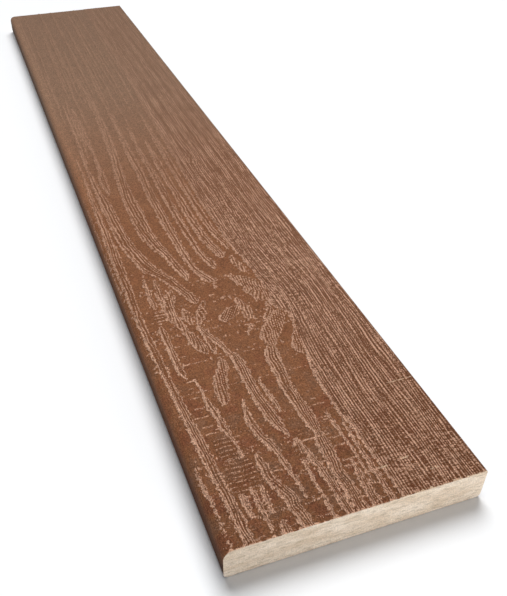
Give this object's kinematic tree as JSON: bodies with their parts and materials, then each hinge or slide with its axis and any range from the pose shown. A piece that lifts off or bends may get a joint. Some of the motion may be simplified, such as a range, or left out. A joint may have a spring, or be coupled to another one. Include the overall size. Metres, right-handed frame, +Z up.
{
  "type": "composite fence board",
  "caption": "Flat composite fence board with an embossed woodgrain face, rounded long edges and square sawn ends.",
  "frame": {"origin": "middle of the back face, which the board lies on, half-way along and half-way across", "axes": "+X along the board, towards the sawn end nearest the camera in the picture; +Y across it, towards the long edge at the right of the picture; +Z up, out of the embossed face"},
  "size_m": [0.9, 0.15, 0.02],
  "materials": {
    "board": "brown moulded woodgrain skin, matt, over a cream core that shows only on the sawn ends"
  },
  "bodies": {
    "root": {"fence_board": "board"}
  },
  "joints": []
}
